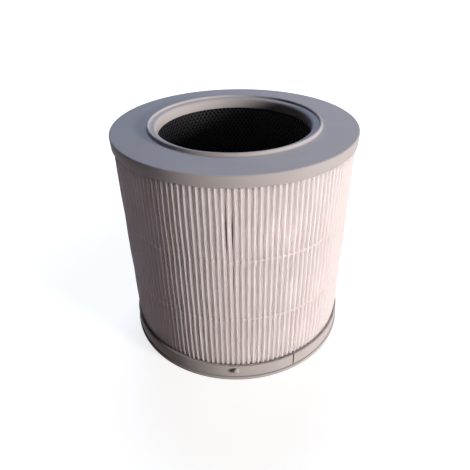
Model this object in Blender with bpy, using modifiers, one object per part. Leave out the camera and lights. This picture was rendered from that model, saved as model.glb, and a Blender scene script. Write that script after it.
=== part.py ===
# Cylindrical air purifier filter, standing on its closed end.
# A pleated paper ring surrounds a carbon sleeve and its net, between two moulded caps.
# Metres, +Z up. The filter's axis is Z, and z = 0 is the face that it stands on.
# Azimuth runs from the front (-Y) towards the right (+X).
import math

import bmesh
import bpy

# Whole filter
HEIGHT = 0.1935              # base to the flat face of the top cap
CLEARANCE = 0.0003           # gap between neighbours that touch on the real filter
TURN_STEPS = 56              # facets round the caps and the band
INNER_STEPS = 40             # facets round the hidden rings

# Top cap: a plate with a skirt outside and a collar round the air opening
CAP_PLATE = 0.0018
CAP_EDGE_ROUND = 0.0012
SKIRT_HEIGHT = 0.0092
SKIRT_WALL = 0.0014
SKIRT_DRAFT = 0.0003
COLLAR_RADIUS = 0.0627       # at the foot of the collar
COLLAR_DEPTH = 0.0074
COLLAR_WALL = 0.0017
COLLAR_DRAFT = 0.0008        # how much wider the opening is at its mouth
COLLAR_ROUND = 0.0024
LAND_RISE = 0.0008           # step from the plate's face up to the land round the opening
BEAD_RADIUS = 0.0700         # crest of the bead that edges the land
BEAD_HALF_WIDTH = 0.0012
BEAD_HEIGHT = 0.0020         # above the land
ROUND_STEPS = 3              # facets of a rounded edge
BEAD_STEPS = 6

# Bottom cap: a closed disc with a thin ledge and an inner rim
BASE_PLATE = 0.0030
BASE_EDGE = 0.0008
BASE_LEDGE = 0.0009          # how far the disc stands out past the band
RIM_HEIGHT = 0.0060

# Base band: a strip bent round the foot of the pleats, with a butt joint and a peg
BAND_HEIGHT = 0.0122
BAND_WALL = 0.0014
BAND_JOINT_AZIMUTH = math.radians(28.9)
BAND_JOINT_GAP = 0.0009
PEG_AZIMUTH = math.radians(-1.2)
PEG_RADIUS = 0.0025
PEG_LENGTH = 0.0028          # out of the band
PEG_ABOVE_BASE = 0.0115
PEG_EDGE = 0.0005
PEG_STEPS = 20

# Pleated paper
PLEAT_COUNT = 140
PLEAT_DEPTH = 0.0270         # inner fold to outer tip, over the sheet
SHEET = 0.0005
OUTER_FOLD = 0.0008          # width of a fold, at the middle of the sheet
INNER_FOLD = 0.0006

# Glue beads that keep the pleats apart
BEAD_LOWER_EDGES = {"glue_bead_upper": 0.1225, "glue_bead_lower": 0.0657}
GLUE_HEIGHT = 0.0016
GLUE_STRAND = 0.0006         # thickness of the strand over the pleat tips
GLUE_TOOTH_DEPTH = 0.0050    # how far the glue runs into each valley
GLUE_RING_POINTS = 50

# Adhesive that the ends of the pleats and the sleeve stand in
POTTING = 0.0018

# Carbon sleeve and the net inside it
SLEEVE_THICKNESS = 0.0036
NET_THICKNESS = 0.0012
NET_STRAND = 0.0016          # width of a strand
NET_COLUMNS = 10
NET_ROWS = 3

# Colours, as sRGB hex, with roughness
FINISHES = {
    "top_cap": ("#96949A", 0.42),
    "bottom_cap": ("#A09C9C", 0.45),
    "base_band": ("#ACA5A4", 0.45),
    "pleated_media": ("#ECE6E2", 0.95),
    "glue_bead_upper": ("#E6E0DA", 0.60),
    "glue_bead_lower": ("#E6E0DA", 0.60),
    "potting_top": ("#DDD6C8", 0.55),
    "potting_bottom": ("#DDD6C8", 0.55),
    "carbon_sleeve": ("#1B1B1D", 0.95),
    "inner_net": ("#101113", 0.50),
}


def clear_of(radius, steps):
    """Radius of a faceted bore whose flats stay the clearance outside a radius."""
    return (radius + CLEARANCE) / math.cos(math.pi / steps)


# Radii, from the air opening outwards
collar_outer = COLLAR_RADIUS + COLLAR_WALL
net_half_span = math.pi / (2 * NET_COLUMNS)
net_middle = (collar_outer + CLEARANCE + NET_THICKNESS / 2) / math.cos(net_half_span)
sleeve_inner = clear_of(net_middle + NET_THICKNESS / 2, INNER_STEPS)
sleeve_outer = sleeve_inner + SLEEVE_THICKNESS
media_inner = sleeve_outer + CLEARANCE
tip_radius = media_inner + PLEAT_DEPTH
skirt_inner = clear_of(tip_radius, TURN_STEPS)
cap_radius = skirt_inner + SKIRT_WALL + SKIRT_DRAFT
band_inner = clear_of(tip_radius, TURN_STEPS)
band_outer = band_inner + BAND_WALL
base_radius = band_outer + BASE_LEDGE

# Heights, from the base upwards
band_foot = BASE_PLATE + CLEARANCE
media_foot = BASE_PLATE + CLEARANCE + POTTING + CLEARANCE
media_head = HEIGHT - CAP_PLATE - CLEARANCE - POTTING - CLEARANCE


def linear(hex_colour):
    """Linear RGBA of an sRGB hex colour."""
    channels = [int(hex_colour[i:i + 2], 16) / 255 for i in (1, 3, 5)]
    return [c / 12.92 if c <= 0.04045 else ((c + 0.055) / 1.055) ** 2.4 for c in channels] + [1.0]


def finish(obj):
    """Give an object the material of its own name."""
    colour, roughness = FINISHES[obj.name]
    material = bpy.data.materials.new(obj.name)
    material.use_nodes = True
    shader = material.node_tree.nodes["Principled BSDF"]
    shader.inputs["Base Color"].default_value = linear(colour)
    shader.inputs["Roughness"].default_value = roughness
    shader.inputs["Metallic"].default_value = 0.0
    obj.data.materials.append(material)
    return obj


def add_mesh(name, bm, collection):
    """A mesh object from a bmesh, linked into a collection."""
    mesh = bpy.data.meshes.new(name)
    bm.to_mesh(mesh)
    bm.free()
    obj = bpy.data.objects.new(name, mesh)
    collection.objects.link(obj)
    return obj


def around(azimuth, radius, z=0.0):
    """Point at an azimuth and radius from the axis."""
    return (radius * math.sin(azimuth), -radius * math.cos(azimuth), z)


def arc(centre_x, centre_z, radius_x, radius_z, start, end, steps):
    """Points of an elliptical arc in the profile plane, angles in degrees from +X."""
    angles = [math.radians(start + (end - start) * i / steps) for i in range(steps + 1)]
    return [(centre_x + radius_x * math.cos(a), centre_z + radius_z * math.sin(a)) for a in angles]


def turned(name, profile, collection, steps=TURN_STEPS, closed=True):
    """Turned piece: a profile of (radius, z) points, running down its outer side, about Z."""
    bm = bmesh.new()
    verts = [bm.verts.new((x, 0.0, z)) for x, z in profile]
    for a, b in zip(verts, verts[1:]):
        bm.edges.new((a, b))
    if closed:
        bm.edges.new((verts[-1], verts[0]))
    obj = add_mesh(name, bm, collection)
    screw = obj.modifiers.new("turn", "SCREW")
    screw.axis = "Z"
    screw.angle = 2 * math.pi
    screw.steps = steps
    screw.render_steps = steps
    screw.use_merge_vertices = True
    screw.merge_threshold = 0.00001
    screw.use_smooth_shade = True
    return finish(obj)


def ring(name, inner, outer, foot, head, collection, steps=INNER_STEPS):
    """Plain turned ring with a rectangular section."""
    return turned(name, [(outer, head), (outer, foot), (inner, foot), (inner, head)], collection, steps)


def build_top_cap(collection):
    """Plate, skirt and collar in one moulding, with a raised land and its bead round the opening."""
    edge = arc(cap_radius - CAP_EDGE_ROUND, HEIGHT - CAP_EDGE_ROUND,
               CAP_EDGE_ROUND, CAP_EDGE_ROUND, 90, 0, ROUND_STEPS)
    skirt = [(cap_radius - SKIRT_DRAFT, HEIGHT - SKIRT_HEIGHT), (skirt_inner, HEIGHT - SKIRT_HEIGHT)]
    trough = [(skirt_inner, HEIGHT - CAP_PLATE), (collar_outer, HEIGHT - CAP_PLATE)]
    collar = [(collar_outer, HEIGHT - COLLAR_DEPTH), (COLLAR_RADIUS, HEIGHT - COLLAR_DEPTH)]
    land = HEIGHT + LAND_RISE
    mouth = arc(COLLAR_RADIUS + COLLAR_DRAFT + COLLAR_ROUND, land - COLLAR_ROUND,
                COLLAR_ROUND, COLLAR_ROUND, 180, 90, ROUND_STEPS)
    bead = arc(BEAD_RADIUS, land, BEAD_HALF_WIDTH, BEAD_HEIGHT, 180, 0, BEAD_STEPS)
    step = [(BEAD_RADIUS + BEAD_HALF_WIDTH, HEIGHT)]
    return turned("top_cap", edge + skirt + trough + collar + mouth + bead + step, collection)


def build_bottom_cap(collection):
    """Closed disc with a thin ledge round it and a rim inside the sleeve."""
    rim = [(COLLAR_RADIUS, BASE_PLATE), (COLLAR_RADIUS, BASE_PLATE + RIM_HEIGHT),
           (collar_outer, BASE_PLATE + RIM_HEIGHT), (collar_outer, BASE_PLATE)]
    ledge = [(base_radius - BASE_EDGE, BASE_PLATE), (base_radius, BASE_PLATE - BASE_EDGE),
             (base_radius, BASE_EDGE / 2), (base_radius - BASE_EDGE / 2, 0.0)]
    profile = [(0.0, BASE_PLATE)] + rim + ledge + [(0.0, 0.0)]
    return turned("bottom_cap", profile, collection, closed=False)


def build_base_band(collection, tools):
    """Strip bent round the foot of the pleats, butted at one azimuth, with a moulded peg."""
    middle = (band_inner + band_outer) / 2
    half_gap = BAND_JOINT_GAP / (2 * middle)
    start = BAND_JOINT_AZIMUTH + half_gap
    sweep = 2 * math.pi - 2 * half_gap
    bm = bmesh.new()
    foot = [bm.verts.new(around(start + sweep * i / TURN_STEPS, middle, band_foot))
            for i in range(TURN_STEPS + 1)]
    edges = [bm.edges.new(pair) for pair in zip(foot, foot[1:])]
    raise_edges(bm, edges, BAND_HEIGHT)
    band = add_mesh("base_band", bm, collection)
    thicken(band, BAND_WALL)
    peg = build_peg(middle, tools)
    join = band.modifiers.new("peg", "BOOLEAN")
    join.operation = "UNION"
    join.object = peg
    return finish(band)


def build_peg(root_radius, tools):
    """Round peg, lying along its azimuth, with a chamfered end."""
    end_radius = band_outer + PEG_LENGTH
    bm = bmesh.new()
    bmesh.ops.create_cone(bm, cap_ends=True, segments=PEG_STEPS, radius1=PEG_RADIUS,
                          radius2=PEG_RADIUS, depth=end_radius - root_radius)
    outer_end = [e for e in bm.edges if all(v.co.z > 0 for v in e.verts)]
    bmesh.ops.bevel(bm, geom=outer_end, offset=PEG_EDGE, segments=1, profile=0.5,
                    affect="EDGES", material=-1)
    peg = add_mesh("peg_tool", bm, tools)
    peg.location = around(PEG_AZIMUTH, (root_radius + end_radius) / 2, PEG_ABOVE_BASE)
    peg.rotation_euler = (math.pi / 2, 0.0, PEG_AZIMUTH)
    peg.hide_render = True
    peg.display_type = "WIRE"
    return peg


def raise_edges(bm, edges, height):
    """Draw edges straight up into an open wall."""
    wall = bmesh.ops.extrude_edge_only(bm, edges=edges)
    top = [g for g in wall["geom"] if isinstance(g, bmesh.types.BMVert)]
    bmesh.ops.translate(bm, verts=top, vec=(0.0, 0.0, height))
    bmesh.ops.recalc_face_normals(bm, faces=bm.faces)


def thicken(obj, thickness):
    """Give an open surface its wall, half to each side."""
    solidify = obj.modifiers.new("wall", "SOLIDIFY")
    solidify.thickness = thickness
    solidify.offset = 0.0
    solidify.use_even_offset = True


def build_pleated_media(collection):
    """One sheet folded to and fro into pleats round the axis, closed on itself."""
    outer = tip_radius - SHEET / 2
    inner = media_inner + SHEET / 2
    pitch = 2 * math.pi / PLEAT_COUNT
    outline = []
    for i in range(PLEAT_COUNT):
        tip = pitch * i
        fold = pitch * (i + 0.5)
        outline += [(tip - OUTER_FOLD / (2 * outer), outer), (tip + OUTER_FOLD / (2 * outer), outer),
                    (fold - INNER_FOLD / (2 * inner), inner), (fold + INNER_FOLD / (2 * inner), inner)]
    bm = bmesh.new()
    foot = [bm.verts.new(around(azimuth, radius, media_foot)) for azimuth, radius in outline]
    edges = [bm.edges.new(pair) for pair in zip(foot, foot[1:] + foot[:1])]
    raise_edges(bm, edges, media_head - media_foot)
    media = add_mesh("pleated_media", bm, collection)
    thicken(media, SHEET)
    return finish(media)


def build_glue_bead(name, lower_edge, collection):
    """Strand of glue round the pleat tips, with a tooth that runs into each valley."""
    root = tip_radius + CLEARANCE
    outer = root + GLUE_STRAND
    pitch = 2 * math.pi / PLEAT_COUNT
    valley = pitch - (OUTER_FOLD + SHEET) / tip_radius
    half_tooth = valley / 2 - CLEARANCE / tip_radius
    toothed = []
    for i in range(PLEAT_COUNT):
        middle = pitch * (i + 0.5)
        toothed += [around(middle - half_tooth, root), around(middle, tip_radius - GLUE_TOOTH_DEPTH),
                    around(middle + half_tooth, root)]
    round_outside = [around(2 * math.pi * i / GLUE_RING_POINTS, outer) for i in range(GLUE_RING_POINTS)]
    curve = bpy.data.curves.new(name, "CURVE")
    curve.dimensions = "2D"
    curve.fill_mode = "BOTH"
    curve.extrude = GLUE_HEIGHT / 2
    for outline in (round_outside, toothed):
        spline = curve.splines.new("POLY")
        spline.points.add(len(outline) - 1)
        for point, (x, y, z) in zip(spline.points, outline):
            point.co = (x, y, z, 1.0)
        spline.use_cyclic_u = True
    bead = bpy.data.objects.new(name, curve)
    bead.location.z = lower_edge + GLUE_HEIGHT / 2
    collection.objects.link(bead)
    return finish(bead)


def build_potting(collection):
    """Rings of set adhesive in the two caps."""
    inner = collar_outer + CLEARANCE
    foot = BASE_PLATE + CLEARANCE
    head = HEIGHT - CAP_PLATE - CLEARANCE
    ring("potting_bottom", inner, tip_radius, foot, foot + POTTING, collection)
    ring("potting_top", inner, tip_radius, head - POTTING, head, collection)


def build_inner_net(collection):
    """Net of diamond openings, from a tube whose faces are poked, joined in pairs and inset."""
    bm = bmesh.new()
    length = media_head - media_foot
    bmesh.ops.create_cone(bm, cap_ends=False, segments=NET_COLUMNS, radius1=net_middle,
                          radius2=net_middle, depth=length)
    bmesh.ops.translate(bm, verts=bm.verts, vec=(0.0, 0.0, media_foot + length / 2))
    for row in range(1, NET_ROWS):
        cut = media_foot + length * row / NET_ROWS
        bmesh.ops.bisect_plane(bm, geom=bm.verts[:] + bm.edges[:] + bm.faces[:],
                               plane_co=(0.0, 0.0, cut), plane_no=(0.0, 0.0, 1.0))
    square_edges = [e for e in bm.edges if not e.is_boundary]
    bmesh.ops.poke(bm, faces=bm.faces)
    bmesh.ops.dissolve_edges(bm, edges=square_edges, use_verts=False)
    bmesh.ops.subdivide_edges(bm, edges=[e for e in bm.edges if e.is_boundary], cuts=1)
    for vert in bm.verts:
        scale = net_middle / vert.co.xy.length
        vert.co.x *= scale
        vert.co.y *= scale
    openings = bm.faces[:]
    bmesh.ops.inset_individual(bm, faces=openings, thickness=NET_STRAND / 2, use_even_offset=True)
    bmesh.ops.delete(bm, geom=openings, context="FACES_ONLY")
    net = add_mesh("inner_net", bm, collection)
    thicken(net, NET_THICKNESS)
    return finish(net)


def new_collection(name):
    """A collection in the scene."""
    collection = bpy.data.collections.new(name)
    bpy.context.scene.collection.children.link(collection)
    return collection


def build():
    """The whole filter."""
    for obj in list(bpy.data.objects):
        bpy.data.objects.remove(obj, do_unlink=True)
    filter_parts = new_collection("air_purifier_filter")
    tools = new_collection("boolean_tools")
    build_top_cap(filter_parts)
    build_bottom_cap(filter_parts)
    build_base_band(filter_parts, tools)
    build_pleated_media(filter_parts)
    for name, lower_edge in BEAD_LOWER_EDGES.items():
        build_glue_bead(name, lower_edge, filter_parts)
    build_potting(filter_parts)
    ring("carbon_sleeve", sleeve_inner, sleeve_outer, media_foot, media_head, filter_parts)
    build_inner_net(filter_parts)


build()
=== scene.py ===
# Looks of a round air purifier filter: pleated paper round a carbon sleeve, between two caps.
# Metres, +Z up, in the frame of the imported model. The peg on the foot faces the front, -Y.
import math

import bmesh
import bpy
from mathutils import Matrix, Vector, noise


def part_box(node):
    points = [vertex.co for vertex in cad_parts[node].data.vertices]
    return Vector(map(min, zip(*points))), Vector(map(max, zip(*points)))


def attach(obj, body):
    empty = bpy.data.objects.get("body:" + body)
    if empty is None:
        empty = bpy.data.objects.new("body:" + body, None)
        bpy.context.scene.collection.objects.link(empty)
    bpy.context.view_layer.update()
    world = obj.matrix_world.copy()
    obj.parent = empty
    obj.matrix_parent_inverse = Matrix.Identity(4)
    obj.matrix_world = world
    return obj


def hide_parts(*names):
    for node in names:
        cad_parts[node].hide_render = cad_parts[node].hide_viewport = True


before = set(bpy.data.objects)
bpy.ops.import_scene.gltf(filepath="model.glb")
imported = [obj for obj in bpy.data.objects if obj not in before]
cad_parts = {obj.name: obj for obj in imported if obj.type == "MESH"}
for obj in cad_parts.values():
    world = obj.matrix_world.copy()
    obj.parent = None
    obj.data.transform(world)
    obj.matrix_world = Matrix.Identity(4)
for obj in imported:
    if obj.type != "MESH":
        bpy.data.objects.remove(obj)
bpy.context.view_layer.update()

# Heights and radii that every piece shares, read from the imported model
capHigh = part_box("top_cap")[1]
baseLow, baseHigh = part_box("bottom_cap")
bandLow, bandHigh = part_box("base_band")
paperLow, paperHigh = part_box("pleated_media")
sleeveLow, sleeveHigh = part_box("carbon_sleeve")
netLow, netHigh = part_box("inner_net")
tipRadius = -paperLow.y              # a pleat tip faces the front
print("frame loaded, filter", round(capHigh.x * 2000, 1), "mm across")


def fromHex(text):
    channels = [int(text[i:i + 2], 16) / 255 for i in (1, 3, 5)]
    return [c / 12.92 if c <= 0.04045 else ((c + 0.055) / 1.055) ** 2.4 for c in channels] + [1.0]


def addNode(tree, kind, inputs=None, links=None, **settings):
    node = tree.nodes.new(kind)
    for name, value in settings.items():
        setattr(node, name, value)
    for socket, value in (inputs or {}).items():
        node.inputs[socket].default_value = value
    for socket, source in (links or {}).items():
        tree.links.new(source, node.inputs[socket])
    return node


def startMaterial(name, inputs):
    material = bpy.data.materials.new(name)
    material.use_nodes = True
    tree = material.node_tree
    shader = tree.nodes["Principled BSDF"]
    for socket, value in inputs.items():
        shader.inputs[socket].default_value = value
    place = addNode(tree, "ShaderNodeTexCoord").outputs["Object"]
    return material, tree, shader, place


def shadeBetween(tree, height, low, high, dark, light):
    ramp = addNode(tree, "ShaderNodeValToRGB", links={"Fac": height})
    ramp.color_ramp.elements[0].position = low
    ramp.color_ramp.elements[0].color = fromHex(dark)
    ramp.color_ramp.elements[1].position = high
    ramp.color_ramp.elements[1].color = fromHex(light)
    return ramp.outputs["Color"]


# ABS from a spark-eroded mould: nearly matt, an even colour, a grain you feel more than see
def mouldedAbs(name, dark, light, roughness):
    grainSize, flowSize = 0.0006, 0.030           # real grain is 0.1 mm, drawn coarser so that it shows
    material, tree, shader, place = startMaterial(
        name, {"Roughness": roughness, "IOR": 1.5, "Specular IOR Level": 0.05})
    flow = addNode(tree, "ShaderNodeTexNoise", {"Scale": 1 / flowSize, "Detail": 2.0}, {"Vector": place})
    grain = addNode(tree, "ShaderNodeTexNoise", {"Scale": 1 / grainSize, "Detail": 3.0}, {"Vector": place})
    colour = shadeBetween(tree, flow.outputs["Fac"], 0.35, 0.65, dark, light)
    bump = addNode(tree, "ShaderNodeBump", {"Strength": 0.35, "Distance": 0.00004},
                   {"Height": grain.outputs["Fac"]})
    tree.links.new(colour, shader.inputs["Base Color"])
    tree.links.new(bump.outputs["Normal"], shader.inputs["Normal"])
    return material


# Non-woven filter paper, melt-blown and calendered: dead matt, fibrous, a little cloudy
def filterPaper(name):
    fibreSize, cloudSize = 0.0005, 0.006          # fibres are 0.02 mm, so what shows is their bundles
    material, tree, shader, place = startMaterial(
        name, {"Roughness": 0.95, "IOR": 1.45, "Specular IOR Level": 0.1})
    cloud = addNode(tree, "ShaderNodeTexNoise", {"Scale": 1 / cloudSize, "Detail": 4.0}, {"Vector": place})
    fibres = addNode(tree, "ShaderNodeTexNoise", {"Scale": 1 / fibreSize, "Detail": 4.0, "Roughness": 0.7},
                     {"Vector": place})
    colour = shadeBetween(tree, cloud.outputs["Fac"], 0.3, 0.7, "#FDFBFA", "#FFFEFE")
    bump = addNode(tree, "ShaderNodeBump", {"Strength": 0.5, "Distance": 0.00012},
                   {"Height": fibres.outputs["Fac"]})
    tree.links.new(colour, shader.inputs["Base Color"])
    tree.links.new(bump.outputs["Normal"], shader.inputs["Normal"])
    through = addNode(tree, "ShaderNodeBsdfTranslucent", {"Color": fromHex("#FFFDFD")})
    sheet = addNode(tree, "ShaderNodeMixShader", {"Fac": 0.85}, {1: shader.outputs[0], 2: through.outputs[0]})
    tree.links.new(sheet.outputs[0], tree.nodes["Material Output"].inputs["Surface"])
    return material


# EVA hot-melt glue: waxy, slightly glassy, milky white where it has set
def hotMelt(name):
    rippleSize = 0.0018
    material, tree, shader, place = startMaterial(
        name, {"Roughness": 0.6, "IOR": 1.48, "Specular IOR Level": 0.2})
    ripple = addNode(tree, "ShaderNodeTexNoise", {"Scale": 1 / rippleSize, "Detail": 2.0}, {"Vector": place})
    colour = shadeBetween(tree, ripple.outputs["Fac"], 0.3, 0.7, "#F1ECE9", "#F8F4F2")
    bump = addNode(tree, "ShaderNodeBump", {"Strength": 0.5, "Distance": 0.0002},
                   {"Height": ripple.outputs["Fac"]})
    tree.links.new(colour, shader.inputs["Base Color"])
    tree.links.new(bump.outputs["Normal"], shader.inputs["Normal"])
    through = addNode(tree, "ShaderNodeBsdfTranslucent", links={"Color": colour})
    wax = addNode(tree, "ShaderNodeMixShader", {"Fac": 0.6}, {1: shader.outputs[0], 2: through.outputs[0]})
    tree.links.new(wax.outputs[0], tree.nodes["Material Output"].inputs["Surface"])
    return material


# Polyurethane potting, poured and set: ivory, smooth, with small bubbles
def pottingResin(name):
    bubbleSize = 0.0025
    material, tree, shader, place = startMaterial(name, {"Roughness": 0.5, "IOR": 1.5})
    bubbles = addNode(tree, "ShaderNodeTexVoronoi", {"Scale": 1 / bubbleSize}, {"Vector": place})
    colour = shadeBetween(tree, bubbles.outputs["Distance"], 0.0, 0.35, "#CDC5B4", "#DDD6C8")
    bump = addNode(tree, "ShaderNodeBump", {"Strength": 0.6, "Distance": 0.0003},
                   {"Height": bubbles.outputs["Distance"]})
    tree.links.new(colour, shader.inputs["Base Color"])
    tree.links.new(bump.outputs["Normal"], shader.inputs["Normal"])
    return material


# Activated carbon held in a felt: black grit, sooty, with a few grains that glint
def carbonFelt(name):
    grainSize = 0.0011
    material, tree, shader, place = startMaterial(
        name, {"Roughness": 0.9, "IOR": 1.45, "Specular IOR Level": 0.3})
    grit = addNode(tree, "ShaderNodeTexVoronoi", {"Scale": 1 / grainSize}, {"Vector": place})
    colour = shadeBetween(tree, grit.outputs["Distance"], 0.1, 0.7, "#121215", "#070708")
    bump = addNode(tree, "ShaderNodeBump", {"Strength": 0.9, "Distance": 0.0004},
                   {"Height": grit.outputs["Distance"]}, invert=True)
    tree.links.new(colour, shader.inputs["Base Color"])
    tree.links.new(bump.outputs["Normal"], shader.inputs["Normal"])
    return material


# Polyethylene net, extruded black: a dull wax-like shine along each strand
def extrudedNet(name):
    dragSize = 0.002
    material, tree, shader, place = startMaterial(
        name, {"Roughness": 0.5, "IOR": 1.5, "Specular IOR Level": 0.3})
    drag = addNode(tree, "ShaderNodeTexNoise", {"Scale": 1 / dragSize, "Detail": 2.0}, {"Vector": place})
    colour = shadeBetween(tree, drag.outputs["Fac"], 0.3, 0.7, "#101115", "#1A1B20")
    bump = addNode(tree, "ShaderNodeBump", {"Strength": 0.4, "Distance": 0.0001},
                   {"Height": drag.outputs["Fac"]})
    tree.links.new(colour, shader.inputs["Base Color"])
    tree.links.new(bump.outputs["Normal"], shader.inputs["Normal"])
    return material


def onRing(azimuth, radius, height):
    return Vector((radius * math.sin(azimuth), -radius * math.cos(azimuth), height))


def azimuthOf(point):
    return math.atan2(point.x, -point.y)


def finishPiece(name, bm, material, replaced, sharpAngle=40):
    mesh = bpy.data.meshes.new(name)
    bm.to_mesh(mesh)
    bm.free()
    mesh.shade_smooth()
    mesh.set_sharp_from_angle(angle=math.radians(sharpAngle))
    mesh.materials.append(material)
    piece = bpy.data.objects.new(name, mesh)
    bpy.context.scene.collection.objects.link(piece)
    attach(piece, "root")
    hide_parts(*replaced)
    return piece


def thicken(piece, thickness):
    wall = piece.modifiers.new("wall", "SOLIDIFY")
    wall.thickness = thickness
    wall.offset = 0.0
    wall.use_even_offset = True


# Draws a section of (radius, height) corners, rounds the named corners, and spins it into a solid
def turnPiece(corners, rounding, steps, closed=True):
    bm = bmesh.new()
    verts = [bm.verts.new((radius, 0, height)) for radius, height in corners]
    for pair in zip(verts, verts[1:]):
        bm.edges.new(pair)
    if closed:
        bm.edges.new((verts[-1], verts[0]))
    for corner, (width, segments) in rounding.items():
        bmesh.ops.bevel(bm, geom=[verts[corner]], offset=width, offset_type="OFFSET", segments=segments,
                        profile=0.5, affect="VERTICES", material=-1)
    bmesh.ops.spin(bm, geom=bm.verts[:] + bm.edges[:], cent=(0, 0, 0), axis=(0, 0, 1),
                   angle=math.tau, steps=steps, use_merge=True)
    bmesh.ops.remove_doubles(bm, verts=bm.verts, dist=0.000001)
    bmesh.ops.recalc_face_normals(bm, faces=bm.faces)
    return bm


capAbs = mouldedAbs("satin ABS, grey", "#A09D9D", "#A4A1A0", 0.6)
bandAbs = mouldedAbs("satin ABS, grey strip", "#A3A09F", "#A8A5A3", 0.6)
paper = filterPaper("non-woven filter paper")
glue = hotMelt("EVA hot-melt glue")
resin = pottingResin("polyurethane potting")
carbon = carbonFelt("activated carbon felt")
netPlastic = extrudedNet("extruded polyethylene net")
print("materials made")

# Top cap: plate with a skirt outside, a collar in the air opening, and a raised land with a bead round it
topCap = {"steps": 192, "plate": 0.0018, "edgeRound": 0.0012,
          "skirt": 0.0092, "skirtWall": 0.0014, "draft": 0.0003, "skirtRound": 0.0003,
          "opening": 0.0627, "collar": 0.0074, "collarWall": 0.0017, "collarDraft": 0.0008,
          "mouthRound": 0.0024, "landRise": 0.0008,
          "beadIn": 0.0688, "beadOut": 0.0708, "beadHeight": 0.0020, "crestRound": 0.00097,
          "innerFoot": 0.0003, "outerFoot": 0.0012}


def makeTopCap(s):
    land = capHigh.z - s["beadHeight"]
    top = land - s["landRise"]
    outside = capHigh.x
    inside = outside - s["draft"] - s["skirtWall"]
    collarOut = s["opening"] + s["collarWall"]
    corners = [(outside, top), (outside - s["draft"], top - s["skirt"]), (inside, top - s["skirt"]),
               (inside, top - s["plate"]), (collarOut, top - s["plate"]), (collarOut, top - s["collar"]),
               (s["opening"], top - s["collar"]), (s["opening"] + s["collarDraft"], land),
               (s["beadIn"], land), (s["beadIn"], capHigh.z), (s["beadOut"], capHigh.z), (s["beadOut"], top)]
    rounding = {0: (s["edgeRound"], 4), 1: (s["skirtRound"], 2), 2: (s["skirtRound"], 2),
                6: (s["skirtRound"], 2), 7: (s["mouthRound"], 6), 8: (s["innerFoot"], 2),
                9: (s["crestRound"], 6), 10: (s["crestRound"], 6), 11: (s["outerFoot"], 5)}
    bm = turnPiece(corners, rounding, s["steps"])
    return finishPiece("topCapMoulding", bm, capAbs, ["top_cap"])


makeTopCap(topCap)
print("top cap made")

# Bottom cap: closed disc with a thin ledge round it and a rim inside the sleeve
bottomCap = {"steps": 192, "plate": 0.0030, "edgeRound": 0.0008, "underRound": 0.0004, "rimRound": 0.0003}


def makeBottomCap(s):
    rimIn = topCap["opening"]
    rimOut = rimIn + topCap["collarWall"]
    corners = [(0, s["plate"]), (rimIn, s["plate"]), (rimIn, baseHigh.z), (rimOut, baseHigh.z),
               (rimOut, s["plate"]), (baseHigh.x, s["plate"]), (baseHigh.x, baseLow.z), (0, baseLow.z)]
    rounding = {2: (s["rimRound"], 2), 3: (s["rimRound"], 2),
                5: (s["edgeRound"], 4), 6: (s["underRound"], 3)}
    bm = turnPiece(corners, rounding, s["steps"], closed=False)
    return finishPiece("bottomCapMoulding", bm, capAbs, ["bottom_cap"])


makeBottomCap(bottomCap)
print("bottom cap made")

# Base band: strip round the foot of the pleats, butted at one azimuth, with a moulded peg
baseBand = {"steps": 180, "wall": 0.0026, "ledge": 0.0009, "lipRound": 0.0006, "footRound": 0.0005,
            "jointAzimuth": math.radians(28.9), "jointGap": 0.0012,
            "pegAzimuth": math.radians(-1.2), "pegRadius": 0.0025, "pegLength": 0.0028,
            "pegHeight": 0.0115, "pegRound": 0.0011, "pegSteps": 32}


def makeBaseBand(s):
    outside = baseHigh.x - s["ledge"]
    inside = outside - s["wall"]
    halfGap = s["jointGap"] / (2 * outside)
    corners = [(outside, bandHigh.z), (outside, bandLow.z), (inside, bandLow.z), (inside, bandHigh.z)]
    bm = bmesh.new()
    section = [bm.verts.new(onRing(s["jointAzimuth"] + halfGap, r, z)) for r, z in corners]
    for pair in zip(section, section[1:] + section[:1]):
        bm.edges.new(pair)
    for corner, width in {0: s["lipRound"], 1: s["footRound"], 3: s["lipRound"]}.items():
        bmesh.ops.bevel(bm, geom=[section[corner]], offset=width, offset_type="OFFSET", segments=3,
                        profile=0.5, affect="VERTICES", material=-1)
    bmesh.ops.spin(bm, geom=bm.verts[:] + bm.edges[:], cent=(0, 0, 0), axis=(0, 0, 1),
                   angle=math.tau - 2 * halfGap, steps=s["steps"], use_merge=False)
    bmesh.ops.holes_fill(bm, edges=[e for e in bm.edges if e.is_boundary], sides=0)
    addPeg(bm, s, inside, outside)
    bmesh.ops.recalc_face_normals(bm, faces=bm.faces)
    return finishPiece("baseBandStrip", bm, bandAbs, ["base_band"])


def addPeg(bm, s, inside, outside):
    root = (inside + outside) / 2
    end = outside + s["pegLength"]
    made = bmesh.ops.create_cone(bm, cap_ends=True, segments=s["pegSteps"], radius1=s["pegRadius"],
                                 radius2=s["pegRadius"], depth=end - root)
    verts = made["verts"]
    outerEnd = [e for e in bm.edges if all(v in verts and v.co.z > 0 for v in e.verts)]
    rounded = bmesh.ops.bevel(bm, geom=outerEnd, offset=s["pegRound"], segments=3, profile=0.5,
                              affect="EDGES", material=-1)
    verts = list({v for v in verts if v.is_valid} | set(rounded["verts"]))
    turn = Matrix.Rotation(s["pegAzimuth"], 4, "Z") @ Matrix.Rotation(math.pi / 2, 4, "X")
    place = Matrix.Translation(onRing(s["pegAzimuth"], (root + end) / 2, s["pegHeight"]))
    bmesh.ops.transform(bm, matrix=place @ turn, verts=verts)


makeBaseBand(baseBand)
print("base band made")

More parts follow.
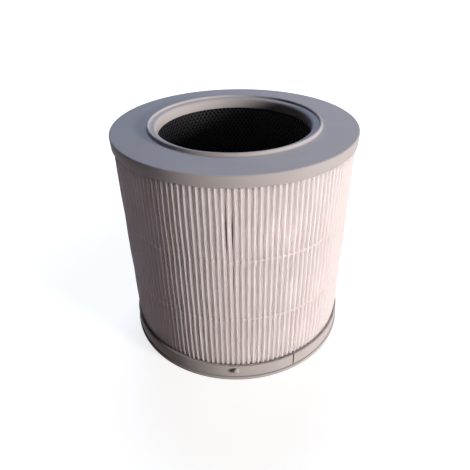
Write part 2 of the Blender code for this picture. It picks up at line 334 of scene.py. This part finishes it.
# Pleats: one sheet folded to and fro, held by two lines of glue, a little uneven between them
pleats = {"count": 140, "depth": 0.0270, "sheet": 0.0004, "outerFold": 0.0005, "innerFold": 0.0006,
          "tipRound": 0.00022, "ribDepth": 0.0006, "ribWidth": 0.0006, "shoulder": 0.0014,
          "shoulderRound": 0.0004, "rows": 15, "curve": 0.0006, "curveLength": 0.07,
          "part": 1.3, "partMost": 0.4, "partFrom": 0.15, "partWidth": 0.012, "partLength": 0.03,
          "sway": 0.00055, "swayLength": 0.034, "straightFolds": 3,
          "shrink": 0.0004, "shrinkLength": 0.045, "bow": 0.0006, "heldLength": 0.011, "heldReach": 0.004,
          "tuck": 0.0009, "tuckLength": 0.006, "flare": 0.12, "flareLength": 0.0022,
          "glueFeet": {"glueStrandUpper": 0.1225, "glueStrandLower": 0.0657}, "glueHeight": 0.0016}
pitch = math.tau / pleats["count"]


def heldShare(height):
    # 1 where the glue, the band or the top cap holds the folds, 0 where they are free
    held = [foot + pleats["glueHeight"] / 2 for foot in pleats["glueFeet"].values()]
    held += [bandHigh.z + pleats["heldReach"], paperHigh.z - pleats["heldReach"]]
    return max(math.exp(-((height - h) / pleats["heldLength"]) ** 2) for h in held)


def looseShare(azimuth):
    # 0 at the back, where the ends of the sheet meet in a straight fold, and 1 a few folds away from it
    return min(1.0, (math.pi - abs(azimuth)) / (pleats["straightFolds"] * pitch))


def swayOf(azimuth, height):
    # how far a fold leans sideways, as an angle
    along = azimuth / pitch * 0.83 + 0.37
    lean = noise.noise(Vector((along, height / pleats["swayLength"], 4.1)))
    settle = noise.noise(Vector((along * 0.31, 7.7, 1.3)))
    free = 1 - 0.8 * heldShare(height)
    return (lean * free + 0.5 * settle) * looseShare(azimuth) * pleats["sway"] / tipRadius


def curveOf(place, out, s):
    # how far the walls bulge sideways, neighbours the same way, so that they keep their distance
    share = noise.noise(place / s["curveLength"])
    return s["curve"] * (1 + share) * math.sin(out * math.tau)


def partOf(place, height, s):
    # how far the bulging walls of neighbours stand apart, which opens a dark gap between them
    spot = Vector((place.x / s["partWidth"], place.y / s["partWidth"], place.z / s["partLength"] + 1.7))
    loose = max(0.0, noise.noise(spot) - s["partFrom"])
    return min(s["part"] * loose, s["partMost"]) * (1 - heldShare(height))


def foldOutline(bm, s):
    inner = tipRadius - s["depth"] + s["sheet"] / 2
    outer = tipRadius - s["sheet"] / 2
    halfTip = s["outerFold"] / 2 / outer
    halfFold = s["innerFold"] / 2 / inner
    shoulder = outer - s["shoulder"]       # here the soft walls of neighbours come close to each other
    halfGap = s["innerFold"] / 2 / shoulder
    ribFoot = outer - s["ribDepth"]
    halfRib = s["ribWidth"] / 2 / ribFoot
    points = [(-pitch / 2, inner), (halfFold - pitch / 2, inner), (halfGap - pitch / 2, shoulder),
              (-halfRib, ribFoot), (-halfTip, outer), (halfTip, outer), (halfRib, ribFoot),
              (pitch / 2 - halfGap, shoulder), (pitch / 2 - halfFold, inner), (pitch / 2, inner)]
    verts = [bm.verts.new(onRing(azimuth, radius, paperLow.z)) for azimuth, radius in points]
    for pair in zip(verts, verts[1:]):
        bm.edges.new(pair)
    tips, ribFeet, shoulders = verts[4:6], [verts[3], verts[6]], [verts[2], verts[7]]
    for corners, width in ((tips, s["tipRound"]), (ribFeet + shoulders, s["shoulderRound"])):
        bmesh.ops.bevel(bm, geom=corners, offset=width, offset_type="OFFSET", segments=2,
                        profile=0.5, affect="VERTICES", material=-1)
    bmesh.ops.spin(bm, geom=bm.verts[:] + bm.edges[:], cent=(0, 0, 0), axis=(0, 0, 1),
                   angle=math.tau, steps=s["count"], use_duplicate=True, use_merge=True)
    bmesh.ops.remove_doubles(bm, verts=bm.verts, dist=0.00001)


def pleatRows(s):
    length = paperHigh.z - paperLow.z
    rows = [paperLow.z + length * i / s["rows"] for i in range(1, s["rows"] + 1)]
    rows += [bandHigh.z, bandHigh.z + s["tuckLength"]]
    for foot in s["glueFeet"].values():
        rows += [foot - 0.0005, foot + s["glueHeight"] + 0.0010]
    return sorted(rows)


def makePleats(s):
    bm = bmesh.new()
    foldOutline(bm, s)
    edges = bm.edges[:]
    level = paperLow.z
    for row in pleatRows(s):
        raised = bmesh.ops.extrude_edge_only(bm, edges=edges)["geom"]
        bmesh.ops.translate(bm, verts=[g for g in raised if isinstance(g, bmesh.types.BMVert)],
                            vec=(0, 0, row - level))
        edges = [g for g in raised if isinstance(g, bmesh.types.BMEdge)]
        level = row
    bmesh.ops.recalc_face_normals(bm, faces=bm.faces)
    for vert in bm.verts:
        disturbFold(vert, s)
    piece = finishPiece("foldedPaper", bm, paper, ["pleated_media"], 80)
    thicken(piece, s["sheet"])
    return piece


def disturbFold(vert, s):
    azimuth, radius, height = azimuthOf(vert.co), vert.co.xy.length, vert.co.z
    out = max(0.0, (radius - tipRadius + s["depth"]) / s["depth"])
    middle = round(azimuth / pitch) * pitch
    glued = max(math.exp(-((height - foot) / s["flareLength"]) ** 2) for foot in s["glueFeet"].values())
    azimuth += (azimuth - middle) * s["flare"] * glued * (out > 0.9)
    azimuth += (middle - azimuth) * partOf(vert.co, height, s) * (0.3 < out < 0.97)
    azimuth += swayOf(azimuth, height) * out ** 1.3 + curveOf(vert.co, out, s) / radius
    unevenness = noise.noise(Vector((middle / pitch * 0.77, height / s["shrinkLength"], 9.2)))
    dip = 0.5 + 0.5 * unevenness * looseShare(middle)
    radius += (s["bow"] - s["shrink"] * dip) * out ** 2 * (1 - heldShare(height))
    tucked = min(1.0, max(0.0, 1 + (bandHigh.z - height) / s["tuckLength"]))
    radius -= s["tuck"] * out * tucked ** 2
    vert.co = onRing(azimuth, radius, height)


makePleats(pleats)
print("pleats made")

# Glue strands: a thin ring of set glue in the mouths of the valleys, with the tips just out of it
glueStrand = {"setBack": 0.0006, "tooth": 0.0055, "round": 0.0004, "sag": 0.0004, "stepsPerPleat": 4}


def makeGlueStrand(name, foot, replaced):
    s = glueStrand
    outside, inside = tipRadius - s["setBack"], tipRadius - s["tooth"]
    top = foot + pleats["glueHeight"]
    corners = [(outside, top), (outside, foot), (inside, foot), (inside, top)]
    rounding = {0: (s["round"], 3), 1: (s["round"] / 2, 2)}
    bm = turnPiece(corners, rounding, pleats["count"] * s["stepsPerPleat"])
    for vert in bm.verts:
        azimuth, radius, height = azimuthOf(vert.co), vert.co.xy.length, vert.co.z
        valley = 0.5 - 0.5 * math.cos(azimuth / pitch * math.tau)
        if radius > (inside + outside) / 2:
            radius -= s["sag"] * valley
        vert.co = onRing(azimuth + swayOf(azimuth, foot), radius, height)
    return finishPiece(name, bm, glue, [replaced], 50)


makeGlueStrand("glueStrandUpper", pleats["glueFeet"]["glueStrandUpper"], "glue_bead_upper")
makeGlueStrand("glueStrandLower", pleats["glueFeet"]["glueStrandLower"], "glue_bead_lower")
print("glue made")

# Carbon sleeve and the net that lines it
sleeve = {"steps": 160, "thickness": 0.0036, "round": 0.0004}
net = {"columns": 108, "rows": 32, "strand": 0.0011, "thickness": 0.0009}


def makeSleeve(s):
    outside = sleeveHigh.x
    inside = outside - s["thickness"]
    corners = [(outside, sleeveHigh.z), (outside, sleeveLow.z), (inside, sleeveLow.z), (inside, sleeveHigh.z)]
    bm = turnPiece(corners, {i: (s["round"], 2) for i in range(4)}, s["steps"])
    return finishPiece("carbonSleeve", bm, carbon, ["carbon_sleeve"])


def makeNet(s):
    radius = sleeveHigh.x - sleeve["thickness"] - 0.0003 - s["thickness"] / 2
    length = netHigh.z - netLow.z
    bm = bmesh.new()
    bmesh.ops.create_cone(bm, cap_ends=False, segments=s["columns"], radius1=radius, radius2=radius,
                          depth=length)
    bmesh.ops.translate(bm, verts=bm.verts, vec=(0, 0, netLow.z + length / 2))
    for row in range(1, s["rows"]):
        bmesh.ops.bisect_plane(bm, geom=bm.verts[:] + bm.edges[:] + bm.faces[:],
                               plane_co=(0, 0, netLow.z + length * row / s["rows"]), plane_no=(0, 0, 1))
    squareEdges = [e for e in bm.edges if not e.is_boundary]
    bmesh.ops.poke(bm, faces=bm.faces)
    bmesh.ops.dissolve_edges(bm, edges=squareEdges, use_verts=False)
    holes = bm.faces[:]
    bmesh.ops.inset_individual(bm, faces=holes, thickness=s["strand"] / 2, use_even_offset=True)
    bmesh.ops.delete(bm, geom=holes, context="FACES_ONLY")
    piece = finishPiece("innerNet", bm, netPlastic, ["inner_net"])
    thicken(piece, s["thickness"])
    return piece


makeSleeve(sleeve)
makeNet(net)
for node in ("potting_top", "potting_bottom"):        # hidden in the caps, so their own shape stays
    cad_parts[node].data.materials.clear()
    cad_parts[node].data.materials.append(resin)
print("sleeve and net made")

# Camera, as the photograph was taken
viewpoint = {"lens": 34.35, "sensor": 36.0, "back": 0.35707, "height": 0.31661,
             "heading": math.radians(0.168), "dip": math.radians(33.123), "roll": math.radians(1.075)}


def placeCamera(s):
    data = bpy.data.cameras.new("camera")
    data.lens = s["lens"]
    data.sensor_width = s["sensor"]
    camera = bpy.data.objects.new("camera", data)
    turn = (Matrix.Rotation(s["heading"], 4, "Z") @ Matrix.Rotation(math.pi / 2 - s["dip"], 4, "X")
            @ Matrix.Rotation(-s["roll"], 4, "Z"))
    camera.matrix_world = Matrix.Translation((0, -s["back"], s["height"])) @ turn
    bpy.context.scene.collection.objects.link(camera)
    bpy.context.scene.camera = camera


placeCamera(viewpoint)

# Lamps: a warm soft one low on the right, a weak one on the left, a cool one high up behind
lamps = {
    "key": {"azimuth": 56, "elevation": 10, "distance": 4.0, "size": 1.0, "power": 252.0,
            "colour": "#FFF6F2"},
    "fill": {"azimuth": -45, "elevation": 8, "distance": 4.0, "size": 2.4, "power": 3.0,
             "colour": "#FFCDBD"},
    "sky": {"azimuth": 180, "elevation": 58, "distance": 4.0, "size": 2.0, "power": 116.0,
            "colour": "#CDDCFF"},
}


def placeLamp(name, s):
    data = bpy.data.lights.new(name, "AREA")
    data.shape = "DISK"
    data.size = s["size"]
    data.energy = s["power"]
    data.color = fromHex(s["colour"])[:3]
    azimuth, elevation = math.radians(s["azimuth"]), math.radians(s["elevation"])
    aim = Vector((0, 0, 0.1))
    away = onRing(azimuth, math.cos(elevation), math.sin(elevation))
    lamp = bpy.data.objects.new(name, data)
    lamp.location = aim + away * s["distance"]
    lamp.rotation_euler = away.to_track_quat("Z", "Y").to_euler()
    bpy.context.scene.collection.objects.link(lamp)


for lampName, lampSettings in lamps.items():
    placeLamp(lampName, lampSettings)


# 1 for rays that see the backdrop: straight from the camera, in a reflection or through glass.
# Rays that the paper scatters are left out, so that the backdrop doesn't light it from within.
def seenDirectly(tree):
    rays = addNode(tree, "ShaderNodeLightPath")
    mirrored = addNode(tree, "ShaderNodeMath", operation="MAXIMUM",
                       links={0: rays.outputs["Is Camera Ray"], 1: rays.outputs["Is Glossy Ray"]})
    through = addNode(tree, "ShaderNodeMath", operation="SUBTRACT", use_clamp=True,
                      links={0: rays.outputs["Is Transmission Ray"], 1: rays.outputs["Is Diffuse Ray"]})
    return addNode(tree, "ShaderNodeMath", operation="MAXIMUM",
                   links={0: mirrored.outputs[0], 1: through.outputs[0]}).outputs[0]


backdrop = {"fill": "#8FA3C4", "fillStrength": 0.01}
world = bpy.data.worlds.new("studio")
world.use_nodes = True
bpy.context.scene.world = world
worldTree = world.node_tree
fillLight = worldTree.nodes["Background"]
fillLight.inputs["Color"].default_value = fromHex(backdrop["fill"])
fillLight.inputs["Strength"].default_value = backdrop["fillStrength"]
whiteLight = addNode(worldTree, "ShaderNodeBackground", {"Color": (1, 1, 1, 1), "Strength": 1.0})
worldMix = addNode(worldTree, "ShaderNodeMixShader", links={
    0: seenDirectly(worldTree), 1: fillLight.outputs[0], 2: whiteLight.outputs[0]})
worldTree.links.new(worldMix.outputs[0], worldTree.nodes["World Output"].inputs["Surface"])

# Floor: pale, white to the eye, and it keeps the filter's shadow
floor = {"size": 6.0, "tone": "#C6B8B0", "glow": 0.80, "shadowShare": "#A6A6A6", "near": 0.16, "far": 0.42}


def makeFloor(s):
    bm = bmesh.new()
    bmesh.ops.create_grid(bm, x_segments=1, y_segments=1, size=s["size"] / 2)
    bmesh.ops.translate(bm, verts=bm.verts, vec=(0, 0, -0.0002))
    mesh = bpy.data.meshes.new("floor")
    bm.to_mesh(mesh)
    bm.free()
    material = bpy.data.materials.new("pale floor")
    material.use_nodes = True
    tree = material.node_tree
    tree.nodes.remove(tree.nodes["Principled BSDF"])
    plain = addNode(tree, "ShaderNodeBsdfDiffuse", {"Color": fromHex(s["tone"])})
    shadowed = addNode(tree, "ShaderNodeBsdfDiffuse", {"Color": fromHex(s["shadowShare"])})
    place = addNode(tree, "ShaderNodeTexCoord").outputs["Object"]
    away = addNode(tree, "ShaderNodeVectorMath", links={0: place}, operation="LENGTH").outputs["Value"]
    level = addNode(tree, "ShaderNodeMapRange", {"From Min": s["near"], "From Max": s["far"],
                                                 "To Min": s["glow"], "To Max": 1.0}, {"Value": away},
                    interpolation_type="SMOOTHSTEP")
    glow = addNode(tree, "ShaderNodeEmission", {"Color": (1, 1, 1, 1)}, {"Strength": level.outputs["Result"]})
    seen = addNode(tree, "ShaderNodeAddShader", links={0: shadowed.outputs[0], 1: glow.outputs[0]})
    mix = addNode(tree, "ShaderNodeMixShader", links={0: seenDirectly(tree), 1: plain.outputs[0],
                                                      2: seen.outputs[0]})
    tree.links.new(mix.outputs[0], tree.nodes["Material Output"].inputs["Surface"])
    mesh.materials.append(material)
    ground = bpy.data.objects.new("floor", mesh)
    bpy.context.scene.collection.objects.link(ground)


makeFloor(floor)
bpy.context.scene.view_settings.view_transform = "Standard"
print("camera, lamps and floor placed")
